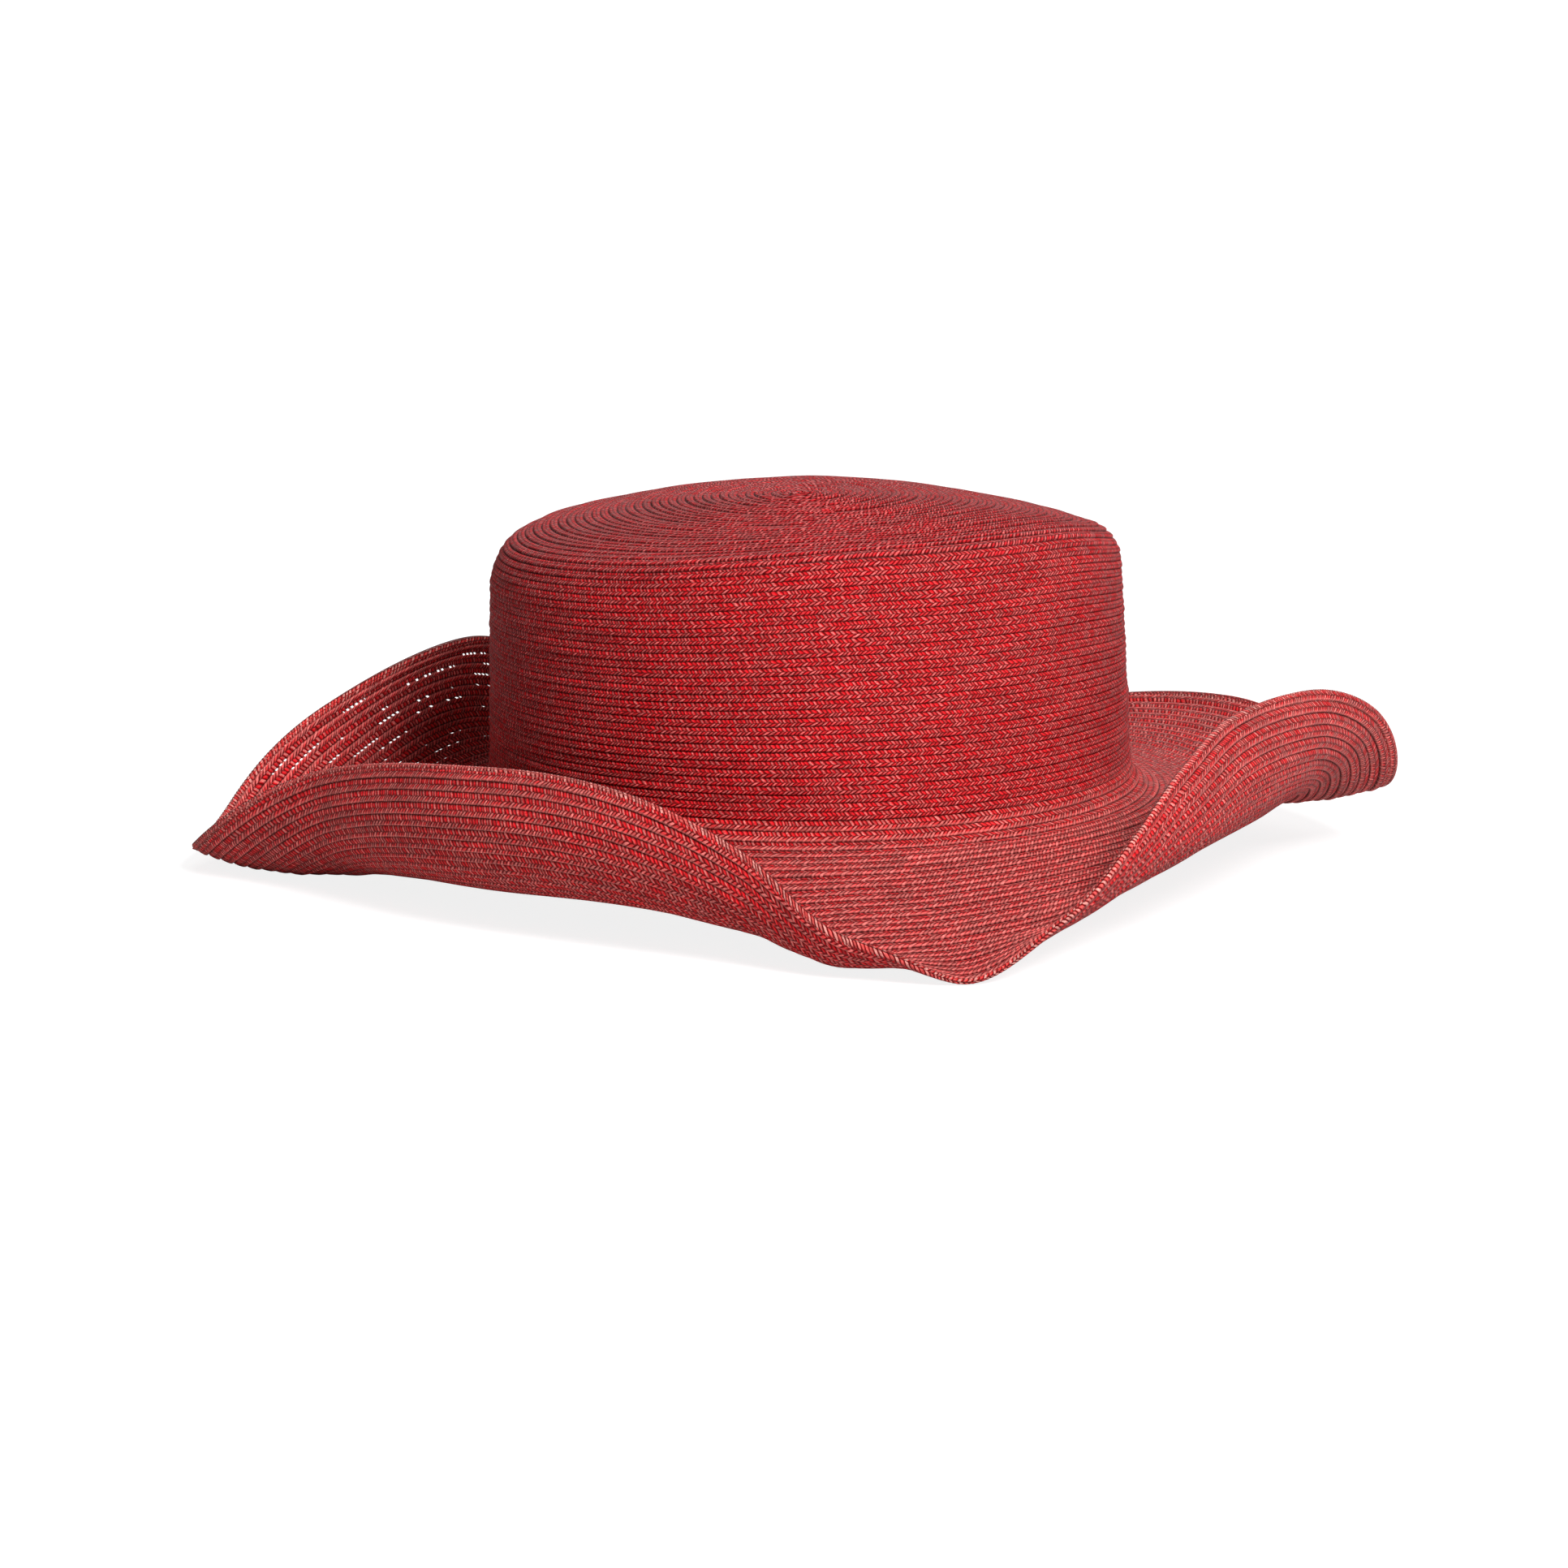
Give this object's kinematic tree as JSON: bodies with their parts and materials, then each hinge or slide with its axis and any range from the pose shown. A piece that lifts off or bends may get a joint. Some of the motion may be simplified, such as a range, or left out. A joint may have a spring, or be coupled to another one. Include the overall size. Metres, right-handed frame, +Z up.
{
  "type": "straw hat",
  "caption": "Sewn straw-braid hat with an oval, nearly flat-topped crown and a wide brim curled up at its quarters.",
  "frame": {"origin": "on the table that the hat lies on, under the middle of the hat's outline", "axes": "+Z up from the table, -Y towards the front of the hat, +X towards the right side as seen from the front"},
  "size_m": [0.3248, 0.3526, 0.1041],
  "materials": {
    "crown_straw": "red sewn straw braid, matt with fine pink flecks",
    "brim_straw": "red sewn straw braid, matt with fine pink flecks"
  },
  "bodies": {
    "root": {"crown": "crown_straw", "brim": "brim_straw"}
  },
  "joints": []
}
